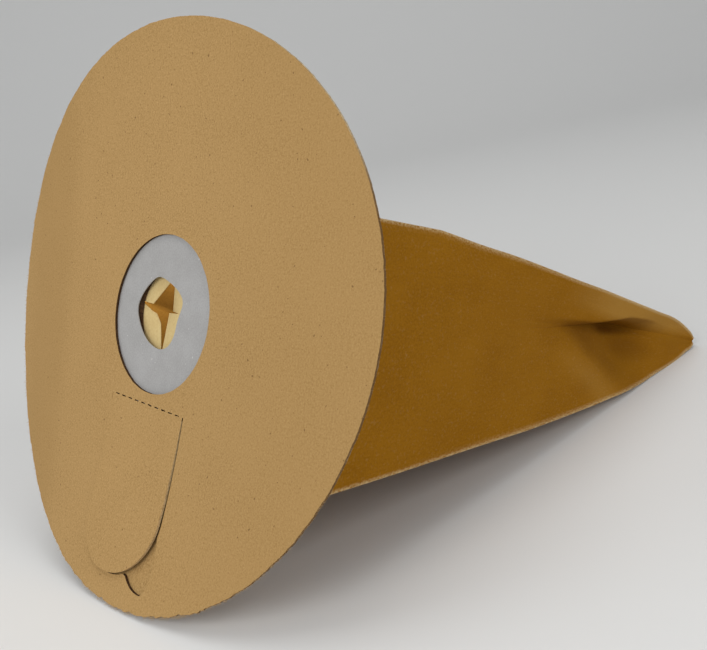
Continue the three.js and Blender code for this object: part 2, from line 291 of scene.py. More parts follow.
# %% Node trees as arithmetic
class Value:
    """A socket that can be added, subtracted and multiplied."""

    def __init__(self, tree, socket):
        self.tree = tree
        self.socket = socket

    def __add__(self, other):
        return self.tree.maths("ADD", self, other)

    def __sub__(self, other):
        return self.tree.maths("SUBTRACT", self, other)

    def __rsub__(self, other):
        return self.tree.maths("SUBTRACT", other, self)

    def __mul__(self, other):
        return self.tree.maths("MULTIPLY", self, other)

    __radd__ = __add__
    __rmul__ = __mul__


class Tree:
    """A node tree, and the ways of adding nodes to it."""

    def node(self, kind, result, inputs, **settings):
        """Adds a node. Inputs and the result are named as the sockets are."""
        node = self.tree.nodes.new(kind)
        for key, value in settings.items():
            setattr(node, key, value)
        for key, value in inputs.items():
            self.feed(self.find(node.inputs, key), value)
        return Value(self, self.find(node.outputs, result))

    def find(self, sockets, key):
        return next(s for s in sockets if key in (s.identifier, s.name))

    def feed(self, socket, value):
        if isinstance(value, Value):
            self.tree.links.new(value.socket, socket)
        else:
            socket.default_value = value

    def maths(self, operation, a, b):
        inputs = {"Value": a, "Value_001": b}
        return self.node("ShaderNodeMath", "Value", inputs, operation=operation)

    def vector(self, operation, a, b):
        inputs = {"Vector": a, "Vector_001": b}
        return self.node("ShaderNodeVectorMath", "Vector", inputs, operation=operation)

    def span(self, value, low, high, start=0.0, end=1.0):
        """Takes a value from the range low..high to the range start..end, smoothly."""
        inputs = {"Value": value, "From Min": low, "From Max": high, "To Min": start, "To Max": end}
        return self.node("ShaderNodeMapRange", "Result", inputs, interpolation_type="SMOOTHSTEP")


# %% [markdown]
# ## Rules for shapes
#
# What repeats or follows a surface is left to Geometry Nodes: the puckers of the paper and
# the loose fibres. A Rule is such a group. Its sizes are named numbers, so the same rule can
# serve pieces of other sizes.

# %% Rules for shapes
class Rule(Tree):
    """A Geometry Nodes group with named numbers, used by a piece through a modifier."""

    def __init__(self, name, **numbers):
        self.tree = bpy.data.node_groups.new(name, "GeometryNodeTree")
        self.keys = {}
        face = self.tree.interface
        face.new_socket("Mesh", in_out="INPUT", socket_type="NodeSocketGeometry")
        for key, value in numbers.items():
            socket = face.new_socket(key, in_out="INPUT", socket_type="NodeSocketFloat")
            socket.default_value = value
            self.keys[key] = socket.identifier
        paint = face.new_socket("Material", in_out="INPUT", socket_type="NodeSocketMaterial")
        self.keys["Material"] = paint.identifier
        face.new_socket("Mesh", in_out="OUTPUT", socket_type="NodeSocketGeometry")
        self.inputs = self.tree.nodes.new("NodeGroupInput")

    def given(self, key):
        return Value(self, self.inputs.outputs[key])

    def finish(self, mesh):
        """Ends the group: instances become real faces, and they get their material."""
        real = self.node("GeometryNodeRealizeInstances", "Geometry", {"Geometry": mesh})
        inputs = {"Geometry": real, "Material": self.given("Material")}
        made = self.node("GeometryNodeSetMaterial", "Geometry", inputs)
        self.feed(self.tree.nodes.new("NodeGroupOutput").inputs[0], made)

    def use(self, piece, **inputs):
        modifier = piece.modifiers.new(self.tree.name, "NODES")
        modifier.node_group = self.tree
        for key, value in inputs.items():
            modifier[self.keys[key]] = value


# %% [markdown]
# ## Paints
#
# A Paint is the tree of a material. All its patterns are noises of several scales: clouds,
# a fine grain, specks, and long thin fibres as in pressed pulp. Noise has no repeat and no
# picture file, and it can be stretched along the way that the fibres lie.

# %% Paints
class Paint(Tree):
    """The node tree of a material."""

    def __init__(self, name):
        self.material = bpy.data.materials.new(name)
        self.material.use_nodes = True
        self.tree = self.material.node_tree
        self.shader = self.tree.nodes["Principled BSDF"]

    def noise(self, place, scale, detail=3.0, roughness=0.6, stretch=(1, 1, 1), turn=0.0):
        inputs = {"Vector": place, "Scale": stretch, "Rotation": (turn, 0, 0)}
        moved = self.node("ShaderNodeMapping", "Vector", inputs)
        inputs = {"Vector": moved, "Scale": scale, "Detail": detail, "Roughness": roughness}
        return self.node("ShaderNodeTexNoise", "Fac", inputs)

    def mix(self, a, b, factor):
        inputs = {"Factor_Float": factor, "A_Color": a, "B_Color": b}
        return self.node("ShaderNodeMix", "Result_Color", inputs, data_type="RGBA")

    def attribute(self, name, result="Fac"):
        return self.node("ShaderNodeAttribute", result, {}, attribute_name=name)

    def bump(self, height, distance):
        inputs = {"Height": height, "Distance": distance}
        return self.node("ShaderNodeBump", "Normal", inputs)

    def finish(self, **inputs):
        for key, value in inputs.items():
            self.feed(self.shader.inputs[key.replace("_", " ")], value)
        return self.material


def colour(red, green, blue):
    """A colour as a picture shows it, 0 to 255, in the units that light uses."""
    share = np.array([red, green, blue]) / 255
    linear = np.where(share <= 0.04045, share / 12.92, ((share + 0.055) / 1.055) ** 2.4)
    return (*linear.tolist(), 1.0)


def fibres(paint, place, scale):
    """Long thin spots in three directions, as in pressed pulp."""
    total = None
    for turn in (0.35, 1.5, 2.5):
        spots = paint.noise(place, scale, 2.0, 0.5, (1, 1, 0.16), turn)
        spots = paint.span(spots, 0.6, 0.74)
        total = spots if total is None else total + spots
    return total


# %% [markdown]
# ## Kraft card
#
# The disc is grey-brown board of pressed pulp: a fine grain with long pale fibres and small
# dark specks. Painted shade makes it a little darker towards the right and in a band at the
# left. The same recipe in other colours gives the cuts in the board and the loose pulp on its
# rim.

# %% Kraft card
def card_paint(name, ground, pale, dark, specks=0.7):
    paint = Paint(name)
    place = paint.attribute("sheet", "Vector")
    clouds = paint.noise(place, 0.03, 3.0, 0.5)
    grain = paint.noise(place, 1.1, 3.0, 0.75)
    flecks = paint.noise(place, 0.5, 2.0, 0.6)
    long_fibres = fibres(paint, place, 0.9)
    spots = paint.span(paint.noise(place, 0.45, 1.0, 0.4), 0.735, 0.78)
    across = paint.node("ShaderNodeSeparateXYZ", "Y", {"Vector": place})
    # Painted shade: a darker band at the left, where the card curls away from the light.
    painted_shade_band = paint.span(across, 78, 100) * paint.span(across, 146, 122)
    base = paint.mix(dark, ground, paint.span(clouds * 0.1 + grain * 0.7 + flecks * 0.2, 0.36, 0.53))
    base = paint.mix(base, pale, paint.span(grain, 0.5, 0.7) * 0.6)
    base = paint.mix(base, pale, long_fibres * 0.15)
    base = paint.mix(base, dark, painted_shade_band * 0.3)
    # Painted shade: the card a little darker towards the right.
    base = paint.mix(base, dark, paint.span(across, 10, -130) * 0.4)
    base = paint.mix(base, colour(104, 74, 42), spots * specks)
    height = grain * 0.8 + long_fibres * 0.3
    return paint.finish(
        Base_Color=base,
        Roughness=0.9,
        Specular_IOR_Level=0.2,
        Normal=paint.bump(height, 0.00006),
    )


card = card_paint("kraft card", colour(172, 137, 86), colour(194, 160, 108), colour(152, 119, 70))
# Painted highlight for the flap's own edge, and painted shade for the cuts inside the card.
lit_cut = card_paint(
    "flap edge with painted highlight", colour(186, 158, 114), colour(206, 180, 138), colour(160, 130, 88), specks=0.0
)
shaded_cut = card_paint(
    "inner cut in painted shade", colour(62, 40, 20), colour(100, 74, 44), colour(40, 26, 12), specks=0.0
)
fluff = card_paint(
    "loose pulp fibres", colour(190, 160, 116), colour(206, 180, 138), colour(170, 138, 94), specks=0.0
)
print("Made:", ", ".join(paint.name for paint in (card, lit_cut, shaded_cut, fluff)))

# %% [markdown]
# ## Cut edges of the card
#
# The cut shows the layers of the board as thin pale lines. It catches the light at the
# upper left and is dark at the lower right, more than the lamps alone would make it, so the
# ground colour changes round the rim.

# %% Cut edges of the card
def rim_paint(name, low_ground, high_ground):
    """A cut edge that is dark at the lower right and pale at the upper left."""
    paint = Paint(name)
    place = paint.attribute("sheet", "Vector")
    slant = {"Vector": place, "Vector_001": (0, 0.7, 0.7)}
    way = paint.node("ShaderNodeVectorMath", "Value", slant, operation="DOT_PRODUCT")
    grain = paint.noise(place, 0.9, 3.0, 0.7)
    layers = paint.noise(place, 2.5, 2.0, 0.5, (1, 0.05, 0.05))
    ground = paint.mix(low_ground, high_ground, paint.span(way, -60, -20))
    base = paint.mix(ground, colour(96, 72, 42), paint.span(grain, 0.6, 0.4) * 0.5)
    base = paint.mix(base, colour(206, 192, 164), paint.span(layers, 0.6, 0.75) * 0.3)
    return paint.finish(Base_Color=base, Roughness=0.95, Specular_IOR_Level=0.15)


front_rim = rim_paint("cut edge of the front card", colour(104, 76, 44), colour(190, 170, 136))
back_rim = rim_paint("cut edge of the back card", colour(104, 76, 44), colour(190, 176, 146))
print("Made:", front_rim.name, "and", back_rim.name)

# %% [markdown]
# ## Kraft paper
#
# The bag's paper is a deep golden brown, rolled in one direction, which leaves faint
# stripes. Three attributes of the mesh add marks: worn is pale on the folds, where handling
# rubbed them, light is a painted highlight on the lip and a ridge near the end, and deep is
# painted shade in the pocket. They are kept on the mesh because a noise wouldn't know where
# the folds are.

# %% Kraft paper
def kraft_paint(name, ground, dark, pale):
    paint = Paint(name)
    place = paint.attribute("sheet", "Vector")
    clouds = paint.noise(place, 0.02, 4.0, 0.6)
    grain = paint.noise(place, 0.8, 3.0, 0.7)
    stripes = paint.noise(place, 0.5, 2.0, 0.6, (0.12, 1, 1))
    long_fibres = fibres(paint, place, 0.5)
    base = paint.mix(dark, ground, paint.span(clouds * 0.35 + grain * 0.55 + stripes * 0.1, 0.34, 0.6))
    base = paint.mix(base, pale, long_fibres * 0.05)
    # Painted highlight on the lip and on a ridge near the end.
    base = paint.mix(base, colour(188, 150, 82), paint.attribute("light"))
    base = paint.mix(base, pale, paint.attribute("worn") * paint.span(grain, 0.35, 0.6))
    # Painted shade in the crease's pocket.
    base = paint.mix(base, colour(72, 34, 2), paint.attribute("deep"))
    height = grain * 0.5 + stripes * 0.15 + long_fibres * 0.3
    return paint.finish(
        Base_Color=base,
        Roughness=0.85,
        Specular_IOR_Level=0.08,
        Normal=paint.bump(height, 0.00008),
    )


lining = kraft_paint("inside of the bag", colour(150, 110, 46), colour(138, 98, 38), colour(176, 138, 76))
kraft = kraft_paint("brown kraft paper", colour(145, 97, 15), colour(131, 85, 9), colour(202, 178, 134))
cream = kraft_paint("cream paper", colour(208, 184, 130), colour(198, 170, 116), colour(224, 202, 154))
print("Made:", ", ".join(paint.name for paint in (lining, kraft, cream)))

# %% [markdown]
# ## Grey rubber
#
# The seal is a smooth sheet of grey rubber with soft clouds and a few specks of dust. It is
# the only surface with a slight shine, and the clouds change that shine a little too.

# %% Grey rubber
def rubber_paint():
    paint = Paint("grey rubber")
    place = paint.attribute("sheet", "Vector")
    clouds = paint.noise(place, 0.1, 4.0, 0.6)
    grain = paint.noise(place, 1.2, 2.0, 0.6)
    dust = paint.span(paint.noise(place, 0.6, 1.0, 0.3), 0.76, 0.82)
    cloudy = paint.span(clouds * 0.4 + grain * 0.6, 0.35, 0.65)
    base = paint.mix(colour(152, 150, 147), colour(165, 163, 161), cloudy)
    base = paint.mix(base, colour(200, 198, 194), dust * 0.8)
    return paint.finish(
        Base_Color=base,
        Roughness=paint.span(clouds, 0.3, 0.7, 0.5, 0.62),
        Specular_IOR_Level=0.3,
    )


rubber = rubber_paint()
print("Made:", rubber.name)

# %% [markdown]
# ## The closing flap
#
# The front card has a flap cut on three sides, which is torn along a row of short holes and
# pushed over the mouth when the bag is full. A curved finger notch opens the cut at its
# lower right. The flap hangs a few degrees off the vertical, so it is drawn straight and
# turned. Its end is two unequal quarter ovals, because the cut isn't symmetric.

# %% The closing flap
# The flap's turn in degrees, its fold's distance from the middle, and half its width.
FLAP_TURN, FLAP_FOLD, FLAP_HALF = 6, 45.2, 30.5
# The cut's width at the right and at the left.
FLAP_CUT, LEFT_CUT = 0.8, 0.2
# Each lower corner of the flap is a quarter oval: its middle across and up, its width and height.
RIGHT_CORNER = (4.5, -97, 35, 33.2)
LEFT_CORNER = (6, -105.7, 24.5, 24.5)
turned = np.array(
    [
        [math.cos(math.radians(FLAP_TURN)), -math.sin(math.radians(FLAP_TURN))],
        [math.sin(math.radians(FLAP_TURN)), math.cos(math.radians(FLAP_TURN))],
    ]
)


def flap_outline(margin, top):
    """The flap's sides and rounded end, from its right top corner round to the left one."""
    half = FLAP_HALF + margin
    swing = np.radians(np.linspace(0, 90, 28))
    across, up, wide, high = RIGHT_CORNER
    right = np.c_[across - (wide + margin) * np.cos(swing), up - (high + margin) * np.sin(swing)]
    across, up, wide, high = LEFT_CORNER
    left = np.c_[across + (wide + margin) * np.cos(swing), up - (high + margin) * np.sin(swing)]
    return np.concatenate([[(-half, top)], right, left[::-1], [(half, top)]])


print("The flap is", 2 * FLAP_HALF, "mm wide at its fold")

# %% [markdown]
# ## The cut round the flap
#
# The cut is a closed loop too: out along its far side, into the finger notch, and back along
# the flap's own edge. It is wide at the right and almost closed at the left, where the knife
# has only parted the board.

# %% The cut round the flap
# The finger notch as three curves: where each starts, where it is pulled to, where it ends.
NOTCH = [
    ((-30.7, -104), (-34.4, -113), (-33.2, -123.5)),
    ((-33.2, -123.5), (-33, -132.2), (-28.5, -132.3)),
    ((-28.5, -132.3), (-19.5, -133), (-12.9, -127)),
]
NOTCH_TOP, NOTCH_LEFT = -104, -12.8


def bezier(a, b, c, count=14):
    t = np.linspace(0, 1, count, endpoint=False)[:, None]
    return (1 - t) ** 2 * np.array(a) + 2 * t * (1 - t) * np.array(b) + t**2 * np.array(c)


def gap_outline():
    """The cut round the flap, which widens into the finger notch on the right."""
    outer = flap_outline(FLAP_CUT, -FLAP_FOLD)
    inner = flap_outline(0, -FLAP_FOLD)[::-1]
    tight = np.clip(outer[:, 0] / FLAP_HALF, 0, 1)[:, None]
    outer = outer + (inner[::-1] - outer) * tight * (1 - LEFT_CUT / FLAP_CUT)
    notch = np.concatenate([bezier(*curve) for curve in NOTCH])
    start = next(i for i, p in enumerate(outer) if p[1] < NOTCH_TOP)
    stop = next(i for i, p in enumerate(outer) if p[0] > NOTCH_LEFT and p[1] < NOTCH_TOP)
    return np.concatenate([outer[:start], notch, outer[stop:], inner])


print("The cut is drawn with", len(gap_outline()), "points")

# %% [markdown]
# ## The front card
#
# The tear-off line is a row of ten short holes across the top of the flap. They go through
# the flat drawing like the window and the cut, because holes in an outline need no boolean.
# The drawing is then given its thickness and bent, and the flap is lifted a little about
# its holes, as a flap stands when its cut has sprung open.

# %% The front card
WINDOW_RADIUS = 39.5
# In degrees.
FLAP_LIFT = 1.6
# The holes of the tear-off line, and how wide their row is.
HOLE_COUNT, HOLE_LENGTH, HOLE_WIDTH, HOLE_SPAN = 10, 3.2, 0.6, 58


def tear_holes():
    pitch = HOLE_SPAN / HOLE_COUNT
    half, wide = HOLE_LENGTH / 2, HOLE_WIDTH / 2
    box = np.array([(-half, -wide), (half, -wide), (half, wide), (-half, wide)])
    places = [(i + 0.5) * pitch - HOLE_SPAN / 2 for i in range(HOLE_COUNT)]
    return [rough(dense(box, 0.4), 0.05) + (y, -FLAP_FOLD) for y in places]


def lift(points, flap):
    """Lifts the flap's points about the tear-off line."""
    points = points.copy()
    flat = points[:, 1:] @ turned
    angle = math.radians(FLAP_LIFT)
    x, down = points[:, 0].copy(), flat[:, 1] + FLAP_FOLD
    points[:, 0] = np.where(flap, x * math.cos(angle) + down * math.sin(angle), x)
    flat[:, 1] = np.where(flap, down * math.cos(angle) - x * math.sin(angle) - FLAP_FOLD, flat[:, 1])
    points[:, 1:] = flat @ turned.T
    return points


def front_card():
    gap = dense(gap_outline(), 0.9)
    holes = [rough(circle(WINDOW_RADIUS), 0.05), gap @ turned.T]
    holes += [hole @ turned.T for hole in tear_holes()]
    flat, faces = flat_sheet(trim(torn_rim(), 0), holes)
    points, faces = thicken(flat, faces, np.zeros(len(flat)), np.full(len(flat), CARD))
    sheet = points.copy()
    points[:, 0] -= curl(points[:, 1], points[:, 2])
    flap = inside(sheet[:, 1:] @ turned, flap_outline(0.1, -FLAP_FOLD))
    return lift(points, flap), faces, sheet


front = front_card()
front_piece = add_piece("shown_front_card", *front, card, "kraft_card", "front_card")

# %% [markdown]
# ## The back card
#
# The second blank holds the seal in a shallow pocket, so the cards lie flat on each other.
# Its hole was punched from the front, which pushed the edge inwards: the points of that edge
# are moved back and towards the middle. The card sits a little off the front one.

# %% The back card
BACK_CARD = CARD + GLUE
BACK_HOLE_RADIUS = 24
POCKET_RADIUS, POCKET_DEPTH = 49, SEAL_THICKNESS + GLUE
PUNCH_DEPTH, PUNCH_SCALE = 1.3, 0.896
BACK_SHIFT = (0, -0.9, 0.3)
# Its pattern is taken from another place than the front card's.
OTHER_BLANK = (40, 0, 0)


def back_card():
    guides = [circle(POCKET_RADIUS - 0.3), circle(POCKET_RADIUS)]
    flat, faces = flat_sheet(trim(torn_rim(), BACK_TRIM), [circle(BACK_HOLE_RADIUS)], guides)
    pocket = np.where(np.hypot(*flat.T) < POCKET_RADIUS - 0.1, POCKET_DEPTH, 0)
    punched = np.hypot(*flat.T) < BACK_HOLE_RADIUS + 0.1
    points, faces = thicken(flat, faces, BACK_CARD + pocket, BACK_CARD + CARD + PUNCH_DEPTH * punched)
    sheet = points + OTHER_BLANK
    points[len(flat) :, 1:][punched] *= PUNCH_SCALE
    points[:, 0] -= curl(points[:, 1], points[:, 2])
    return points + BACK_SHIFT, faces, sheet


back = back_card()
back_piece = add_piece("shown_back_card", *back, card, "kraft_card", "back_card")

# %% [markdown]
# ## Cut edges
#
# A plate's walls are its only faces with four corners, so they are easy to find. The outer
# rim shows its layers with painted light and shade, the cuts inside the card have painted
# shade, and the flap's own edge has a painted highlight, because it stands out into the
# light. Each wall gets the index of its material.

# %% Cut edges
def paint_walls(piece, made, rim):
    """Material 0 is a card's face, 1 its outer rim, 2 its inner cuts in painted shade and 3 the flap's own
    edge with a painted highlight.
    """
    flat = made[2][:, 1:]
    outside = np.hypot(*flat.T) > DISC_RADIUS - 8
    on_flap = inside(flat @ turned, flap_outline(0.1, -FLAP_FOLD - 1))
    kind = np.where(outside, 1, np.where(on_flap, 3, 2))
    index = [0 if len(face) == 3 else int(kind[face[0]]) for face in made[1]]
    for paint in (rim, shaded_cut, lit_cut):
        piece.data.materials.append(paint)
    piece.data.polygons.foreach_set("material_index", index)


paint_walls(front_piece, front, front_rim)
paint_walls(back_piece, back, back_rim)
print("Each card has", len(front_piece.data.materials), "materials")

# %% [markdown]
# ## The rubber seal
#
# The seal is a thin ring that grips the cleaner's hose. Its hole was cut beside the middle
# and has stretched out of round, which a circle could not show. It is drawn as a smooth
# closed curve through thirteen points, each given across and up.

# %% The rubber seal
SEAL_RADIUS = 47
HOLE = [
    (5.9, 18.4), (-3.8, 15.8), (-12.7, 10.8), (-15.7, 5.6), (-12.7, -2.5),
    (-10.5, -10.6), (-5.6, -16), (2, -17.2), (11.1, -13.8), (18.3, -6.8),
    (22, 1.5), (19.8, 8.1), (13.6, 14.5),
]


def smooth_loop(points, count=10):
    """A closed curve through all points, with an even number of steps between each pair."""
    a, b, c, d = (np.roll(np.asarray(points, float), turn, axis=0) for turn in (1, 0, -1, -2))
    rows = []
    for t in np.linspace(0, 1, count, endpoint=False):
        straight = b + t * (c - a) / 2
        square = t**2 * (a - 2.5 * b + 2 * c - d / 2)
        cube = t**3 * (d - a + 3 * (b - c)) / 2
        rows.append(straight + square + cube)
    return np.stack(rows, axis=1).reshape(-1, 2)


flat, faces = flat_sheet(circle(SEAL_RADIUS, 1.5), [smooth_loop(HOLE)], grid=6)
low = np.full(len(flat), SEAL_FRONT)
points, faces = thicken(flat, faces, low, low + SEAL_THICKNESS)
add_piece("shown_rubber_seal", points, faces, points, rubber, "grey_rubber", "rubber_seal")

# %% [markdown]
# ## The crossed slit
#
# A cream sheet closes the mouth behind the seal. Two crossing cuts divide its middle into
# four petals, which the hose pushes in. The petals don't all reach the crossing, so the slit
# isn't drawn as two lines but as a star: out to each arm's end and back to each petal's tip.

# %% The crossed slit
MOUTH_SHEET = BACK_CARD + CARD + GLUE
CROSSING = np.array([5.3, 1.4])
# The ends of the slit's arms: right, upper, left and lower.
SLIT_ENDS = np.array([(-11, 0.8), (-4.9, 20.4), (24, 6.2), (2.2, -23.9)])
# The tip of the petal that follows each arm. The lower left petal is blunt, with three corners.
TIPS = [[(5.1, 1.5)], [(13.5, 4.9)], [(14.2, 1.5), (9.8, 0.1), (5.7, -4.7)], [(5.1, 1.2)]]


def slit_star():
    """The outline of the crossed slit: out to each end, and back to each petal's tip."""
    return np.array([p for end, tips in zip(SLIT_ENDS, TIPS) for p in (end, *tips)])


print("The slit's outline has", len(slit_star()), "corners")

# %% [markdown]
# ## The mouth sheet
#
# Each petal is bent in about the line through the ends of its two cuts. Paper doesn't crease
# there but rolls over, so the first few millimetres of the bend are a curve. The whole sheet
# is also sunk into the hole and sags a little, as glued paper does where nothing backs it.

# %% The mouth sheet
MOUTH_PAPER, MOUTH_HALF = 0.35, 35
# How deep the sheet is sunk, within which radius, and how wide the slope at its edge is.
SINK, SINK_RADIUS, SINK_EDGE = 1.2, 29.5, 3
# How far it sags besides, and within which radius.
SAG, SAG_RADIUS = 0.5, 27
# How far each petal is bent in, in degrees: upper right, upper left, lower left, lower right.
PETAL_FOLDS = (25, 1, 0, 18)
# The bend is rounded over this length.
FOLD_ROUND = 4


def bend_petals(points):
    """Lets the paper sink and sag, and bends each petal in about its slits' ends."""
    points = points.copy()
    flat = points[:, 1:].copy()
    away = np.hypot(*flat.T)
    step = np.clip((SINK_RADIUS - away) / SINK_EDGE, 0, 1)
    points[:, 0] += SINK * step**2 * (3 - 2 * step)
    points[:, 0] += SAG * np.clip(1 - (away / SAG_RADIUS) ** 2, 0, 1)
    for end, after, fold in zip(SLIT_ENDS, np.roll(SLIT_ENDS, -1, axis=0), PETAL_FOLDS):
        petal = inside(flat, np.array([end, after, CROSSING]))
        along = (after - end) / np.hypot(*(after - end))
        out = np.array([along[1], -along[0]])
        out *= np.sign((CROSSING - end) @ out)
        reach = (flat - end) @ out
        rolled = reach**2 / (2 * FOLD_ROUND)
        bent = np.where(reach < FOLD_ROUND, rolled, reach - FOLD_ROUND / 2)
        angle = math.radians(fold)
        points[:, 0] += np.where(petal, bent * math.sin(angle), 0)
        points[:, 1:] += np.where(petal, bent * (math.cos(angle) - 1), 0)[:, None] * out
    return points


def mouth_sheet():
    half = MOUTH_HALF
    corners = [(-half, -half), (half, -half), (half, half), (-half, half)]
    star = dense(slit_star(), 0.5)
    flat, faces = flat_sheet(dense(corners, 2), [star], grid=1.6)
    front = np.full(len(flat), MOUTH_SHEET)
    points, faces = thicken(flat, faces, front, front + MOUTH_PAPER)
    return bend_petals(points), faces, points


points, faces, sheet = mouth_sheet()
no_wear = {"worn": np.zeros(len(points))}
add_piece("cream_mouth_sheet", points, faces, sheet, cream, "cream_paper", "mouth_sheet", marks=no_wear)

# %% [markdown]
# ## The paper bag
#
# The bag is a tube of kraft paper with a gusset folded into each side. It stands open at the
# disc and closes to a flat seam at its end. The folds could be sculpted, but then they would
# follow no size. Here the bag is a loft through cross-sections of eight corners: the ends of
# the upper and lower panels, and on each side the crease of the gusset and the lip that
# hangs over it. The table runs from the bag's bottom (0) to its end seam (1).

# %% The table of sections
SECTIONS = np.array(
    [
        # share, upper, lower, crease's height and depth, lip's height and depth
        (0.00, 52.6, -78.5, -4.0, -1, 10, -0.7),
        (0.12, 52.6, -70.6, 0.0, -0.6, 13, -0.5),
        (0.245, 52.6, -62.1, 4.0, 0, 16, 0),
        (0.265, 52.0, -60.7, 4.4, 0.3, 16.3, 0.3),
        (0.34, 49.2, -55.5, 6.2, 2, 17.4, 2),
        (0.42, 46.9, -50.0, 7.9, 5, 18, 4.6),
        (0.50, 43.9, -44.5, 9.5, 9, 18, 6.8),
        (0.60, 39.7, -36.8, 12.3, 13, 17.5, 7.5),
        (0.68, 36.7, -30.2, 14.8, 16.5, 17.6, 5.5),
        (0.74, 34.1, -24.8, 16.6, 20.5, 20, 3),
        (0.79, 31.9, -20.0, 17.0, 25, 22.6, 1.5),
        (0.83, 30.2, -15.6, 16.6, 21, 22.8, 1.2),
        (0.87, 28.4, -10.0, 15.5, 9, 22.2, 2.4),
        (0.91, 26.8, -4.7, 14.8, 4.5, 20.5, 2.4),
        (0.945, 24.1, 0.4, 14.0, 3, 18.2, 1.8),
        (0.975, 20.3, 6.0, 13.5, 2.2, 16.4, 1.2),
        (0.99, 17.9, 8.0, 13.3, 1.8, 15.2, 0.7),
        (1.00, 15.0, 11.0, 13.1, 1.2, 14.0, 0.4),
    ]
)
# Behind the mouth the far gusset bulges out.
FAR_SIDE = np.array(
    [
        # share, crease's height and depth
        (0, -4, -1),
        (0.08, 9, -4),
        (0.13, 10, -7),
        (0.166, 7.2, -7),
        (0.243, 1, -7),
        (0.3, 0, -4),
        (0.42, 7.9, 5),
    ]
)
print("The loft follows", len(SECTIONS), "sections, and", len(FAR_SIDE), "on the far side at the mouth")

# %% [markdown]
# ## Between two sections
#
# A straight line between two rows of the table would leave a kink at each row, and a free
# curve would swing past them. The slope at each row is therefore kept below twice the
# gentler of its neighbours' grades, and is level where the values turn.

# %% Between two sections
def section(at):
    """The table's row at any share of the length, on a curve that never overshoots its rows."""
    shares, values = SECTIONS[:, 0], SECTIONS[:, 1:]
    step = np.diff(shares)[:, None]
    grade = np.diff(values, axis=0) / step
    slopes = np.concatenate([grade[:1], (grade[:-1] + grade[1:]) / 2, grade[-1:]])
    steep = 2 * np.minimum(np.abs(grade[:-1]), np.abs(grade[1:]))
    slopes[1:-1] = np.sign(slopes[1:-1]) * np.minimum(np.abs(slopes[1:-1]), steep)
    slopes[1:-1][grade[:-1] * grade[1:] <= 0] = 0
    i = min(np.searchsorted(shares, at, side="right") - 1, len(shares) - 2)
    t = (at - shares[i]) / step[i]
    return (
        (1 + 2 * t) * (1 - t) ** 2 * values[i]
        + t * (1 - t) ** 2 * step[i] * slopes[i]
        + t**2 * (3 - 2 * t) * values[i + 1]
        + t**2 * (t - 1) * step[i] * slopes[i + 1]
    )


print("Halfway, the bag is", round(float(section(0.5)[0] - section(0.5)[1]), 1), "mm tall")

# %% [markdown]
# ## Creases
#
# Handling has left soft ridges in the gussets and a dent below the pocket. Each ridge runs
# between two places on the gusset, is highest halfway and falls off at its own rate to the
# left and the right. Adding them as a formula lets the same sheet of points carry them all.

# %% Creases
BAG_LENGTH, BAG_HALF = 344, 100
# Each ridge: from share and height, to share and height, how far out, its left and right width.
RIDGES = [
    (0.6, 14, 0.76, -26, 3.4, 34, 15),
    (0.27, 52, 0.4, 20, 0.8, 8, 8),
    (0.3, -20, 0.42, -50, 0.7, 12, 12),
    (0.46, 44, 0.5, 20, 0.6, 10, 10),
]
# The dent: its share and height, its length and height, and how deep it is.
DENT = (0.79, -2, 24, 13, 3.5)
# Points further than this from a side belong to the panels and stay in place.
SIDE_BAND = 30


def creases(at, flat):
    """How far a section's points are pushed out of the gussets, or in at the dent."""
    out = np.zeros(len(flat))
    for start, high, stop, low, height, left, right in RIDGES:
        slope = (stop - start) * BAG_LENGTH / (low - high)
        along = at * BAG_LENGTH - start * BAG_LENGTH - (flat[:, 1] - high) * slope
        away = along / math.hypot(1, slope)
        share = np.clip((flat[:, 1] - low) / (high - low), 0, 1)
        fall = np.exp(-np.where(away < 0, -away / left, away / right))
        out += height * fall * np.clip(4 * share * (1 - share), 0, 1)
    share, up, long, high, deep = DENT
    dent = ((at - share) * BAG_LENGTH / long) ** 2 + ((flat[:, 1] - up) / high) ** 2
    out -= deep * np.exp(-dent)
    return np.where(np.abs(flat[:, 0]) > BAG_HALF - SIDE_BAND, np.sign(flat[:, 0]) * out, 0)


middle_of_side = np.array([[-BAG_HALF, 0.0]])
print("At mid-height the first ridge stands out by", round(float(-creases(0.68, middle_of_side)[0]), 1), "mm")

# %% [markdown]
# ## One section
#
# A section's sides are divided into many short steps, so that the puckers have points to
# move. Sharp folds stay sharp, while the lips of the gussets are rounded by averaging. Near
# the disc the section bends with the card that it is glued to, and towards the end its
# panels arch a little. The distance to the nearest fold is kept for the worn edges.

# %% One section
# The CAD model's mouth sheet is this thick, and the bag begins behind it.
MOUTH_LAYER = 0.4
BAG_FRONT = MOUTH_SHEET + MOUTH_LAYER + GLUE
SEAM_ARCH = 5.7
# The bag bends with the card over this length.
FOLLOW = 60
# The lip of the far gusset rises to this height behind the mouth, over a first and a last share.
FAR_LIP, FAR_RISE, FAR_FALL = 22, 0.07, 0.14
# How many steps each side of a section is divided into, from the near upper edge down.
STEPS = (20, 12, 34, 80, 34, 12, 20, 80)
# The sides that start at a sharp fold, and those that end at one.
FOLD_FIRST, FOLD_LAST = (0, 3, 4, 7), (2, 3, 6, 7)
NO_FOLD = 99.0


def soften(flat, rounds=3):
    """Rounds the lips of the gussets, and leaves the other folds sharp."""
    lips = [STEPS[0], sum(STEPS[:6])]
    for _ in range(rounds):
        for middle in lips:
            part = slice(middle - 5, middle + 6)
            mean = (flat[middle - 6 : middle + 5] + flat[middle - 4 : middle + 7]) / 2
            flat[part] = (flat[part] + mean) / 2
    return flat


